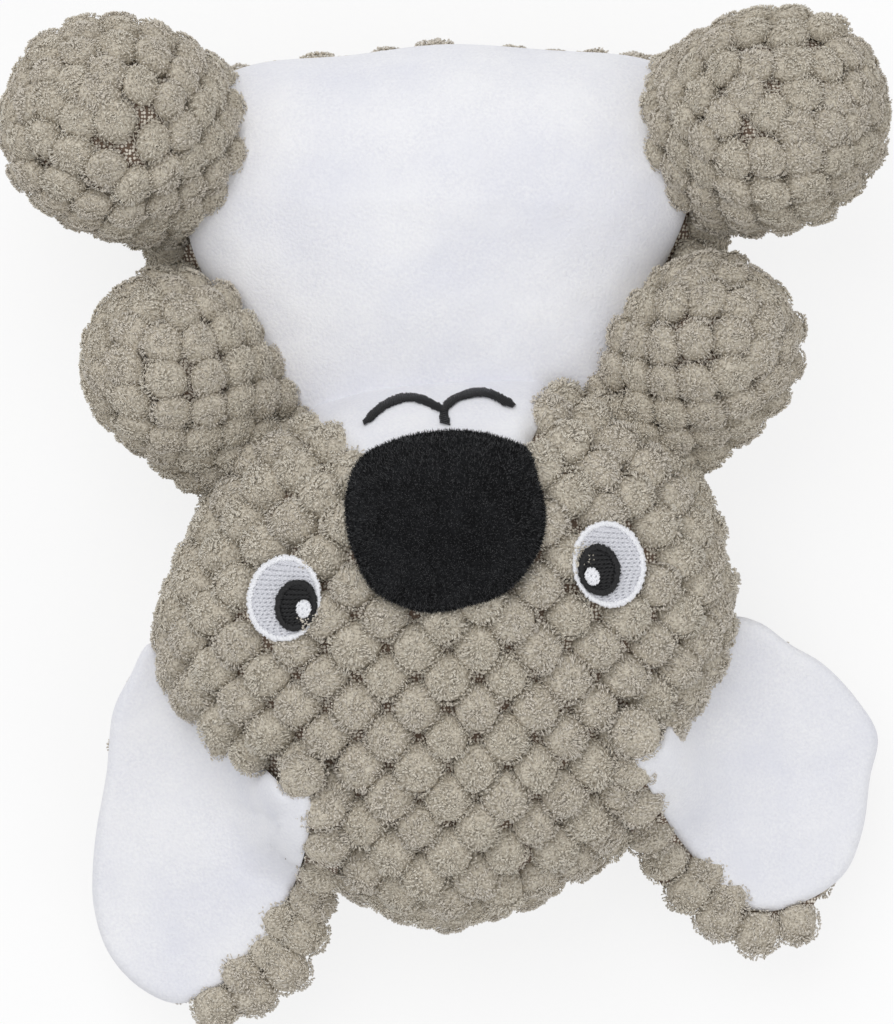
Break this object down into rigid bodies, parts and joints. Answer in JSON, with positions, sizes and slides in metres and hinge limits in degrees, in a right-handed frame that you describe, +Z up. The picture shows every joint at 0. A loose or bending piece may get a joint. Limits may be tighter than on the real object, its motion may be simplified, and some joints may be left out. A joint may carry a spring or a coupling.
{
  "type": "squeaky plush dog toy",
  "caption": "Stuffed animal-shaped dog toy lying on its back, with soft limbs and ears that swing on their seams and a bellows squeaker under its belly.",
  "frame": {"origin": "middle of the toy's footprint, on the surface it lies on", "axes": "+Z up through the face and belly, +Y from the head towards the hind legs, +X to the toy's right in a view from above with the head at the bottom"},
  "size_m": [0.2079, 0.239, 0.0892],
  "materials": {
    "bobbled_plush": "deep bobbled plush, grey-brown, matt",
    "smooth_plush": "short smooth plush, cool white, soft sheen",
    "nose_plush": "short dense plush, black",
    "black_thread": "satin-stitched embroidery thread, black, silky",
    "white_thread": "satin-stitched embroidery thread, white, silky",
    "fibrefill": "loose polyester stuffing",
    "soft_plastic": "soft blow-moulded plastic, natural white",
    "hard_plastic": "moulded plastic"
  },
  "bodies": {
    "body": {"back_panel": "bobbled_plush", "belly_panel": "smooth_plush", "body_stuffing": "fibrefill", "squeaker_base": "soft_plastic", "squeaker_bellows": "soft_plastic", "squeaker_whistle": "hard_plastic", "squeaker_reed": "hard_plastic"},
    "belly_press": {"squeaker_crown": "soft_plastic", "belly_pad": "fibrefill"},
    "head": {"head_front_panel": "bobbled_plush", "head_back_panel": "bobbled_plush", "muzzle_patch": "smooth_plush", "head_stuffing": "fibrefill", "nose": "nose_plush", "mouth_stitching": "black_thread", "eye_left_white": "white_thread", "eye_left_pupil": "black_thread", "eye_left_glint": "white_thread", "eye_right_white": "white_thread", "eye_right_pupil": "black_thread", "eye_right_glint": "white_thread"},
    "ear_left": {"ear_left_back": "bobbled_plush", "ear_left_lining": "smooth_plush"},
    "ear_right": {"ear_right_back": "bobbled_plush", "ear_right_lining": "smooth_plush"},
    "arm_left": {"arm_left_cover": "bobbled_plush", "arm_left_stuffing": "fibrefill"},
    "arm_right": {"arm_right_cover": "bobbled_plush", "arm_right_stuffing": "fibrefill"},
    "leg_left": {"leg_left_cover": "bobbled_plush", "leg_left_stuffing": "fibrefill"},
    "leg_right": {"leg_right_cover": "bobbled_plush", "leg_right_stuffing": "fibrefill"}
  },
  "joints": [
    {"name": "squeaker_squeeze", "type": "slide", "parent": "body", "child": "belly_press", "axis": [0, 0, -1], "range_m": [0, 0.01], "stiffness_N_per_m": 400, "deforming": ["squeaker_bellows", "belly_panel"]},
    {"name": "head_nod", "type": "hinge", "parent": "body", "child": "head", "pos_m": [0, 0.024, 0.024], "axis": [1, 0, 0], "range_deg": [-12, 15], "stiffness_Nm_per_rad": 0.6},
    {"name": "ear_left_flap", "type": "hinge", "parent": "head", "child": "ear_left", "pos_m": [-0.05259, -0.0613, 0.035], "axis": [-0.5895, 0.8077, 0], "range_deg": [-15, 45], "stiffness_Nm_per_rad": 0.04},
    {"name": "ear_right_flap", "type": "hinge", "parent": "head", "child": "ear_right", "pos_m": [0.05778, -0.05317, 0.035], "axis": [-0.37, -0.929, 0], "range_deg": [-15, 45], "stiffness_Nm_per_rad": 0.04},
    {"name": "arm_left_swing", "type": "hinge", "parent": "body", "child": "arm_left", "pos_m": [-0.05064, 0.02394, 0.0377], "axis": [0, 1, 0], "range_deg": [-30, 10], "stiffness_Nm_per_rad": 0.15},
    {"name": "arm_right_swing", "type": "hinge", "parent": "body", "child": "arm_right", "pos_m": [0.04889, 0.02666, 0.03764], "axis": [0, 1, 0], "range_deg": [-10, 30], "stiffness_Nm_per_rad": 0.15},
    {"name": "leg_left_swing", "type": "hinge", "parent": "body", "child": "leg_left", "pos_m": [-0.06586, 0.08705, 0.03958], "axis": [0, 1, 0], "range_deg": [-30, 10], "stiffness_Nm_per_rad": 0.2},
    {"name": "leg_right_swing", "type": "hinge", "parent": "body", "child": "leg_right", "pos_m": [0.06465, 0.08992, 0.03984], "axis": [0, 1, 0], "range_deg": [-10, 30], "stiffness_Nm_per_rad": 0.2}
  ]
}
